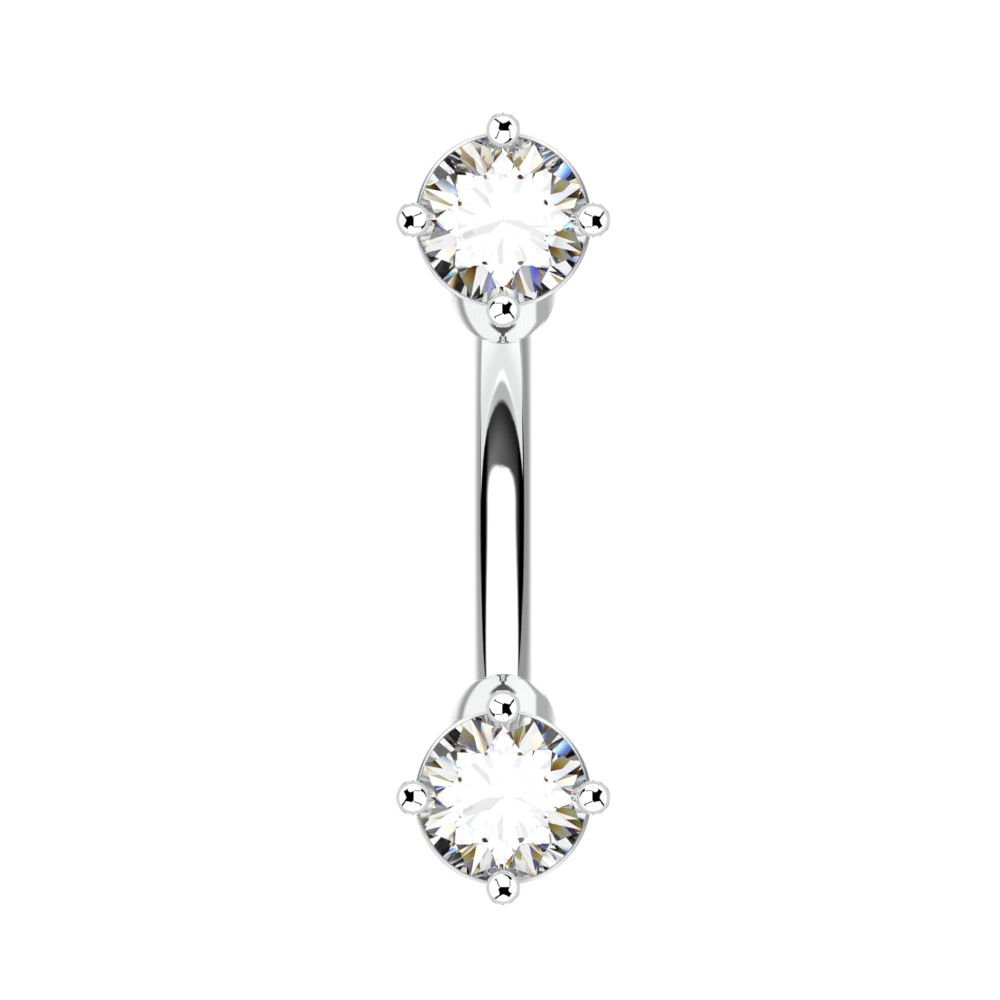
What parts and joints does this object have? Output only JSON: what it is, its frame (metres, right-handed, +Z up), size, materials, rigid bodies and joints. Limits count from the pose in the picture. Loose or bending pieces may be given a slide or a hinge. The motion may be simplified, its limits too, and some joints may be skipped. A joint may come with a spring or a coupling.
{
  "type": "rook barbell",
  "caption": "Curved bar of body jewellery for a fold of the ear, with a screw-on ball at each threaded end that carries a prong basket and a round faceted stone.",
  "frame": {"origin": "centre of the box's base, on the surface that the barbell lies on", "axes": "+X from the lower end to the upper end, +Z up from the surface, the stones face -Y and up"},
  "size_m": [0.0164, 0.0054, 0.0044],
  "materials": {
    "bar": "polished surgical steel",
    "upper_setting": "polished surgical steel",
    "upper_stone": "clear brilliant-cut crystal",
    "lower_setting": "polished surgical steel",
    "lower_stone": "clear brilliant-cut crystal"
  },
  "bodies": {
    "bar": {"bar": "bar"},
    "upper_end": {"upper_setting": "upper_setting", "upper_stone": "upper_stone"},
    "lower_end": {"lower_setting": "lower_setting", "lower_stone": "lower_stone"}
  },
  "joints": [
    {"name": "upper_end_unscrews", "type": "slide", "parent": "bar", "child": "upper_end", "axis": [0.8241, -0.5112, 0.2439], "range_m": [0, 0.004]},
    {"name": "lower_end_unscrews", "type": "slide", "parent": "bar", "child": "lower_end", "axis": [-0.8241, -0.5112, 0.2439], "range_m": [0, 0.004]}
  ]
}
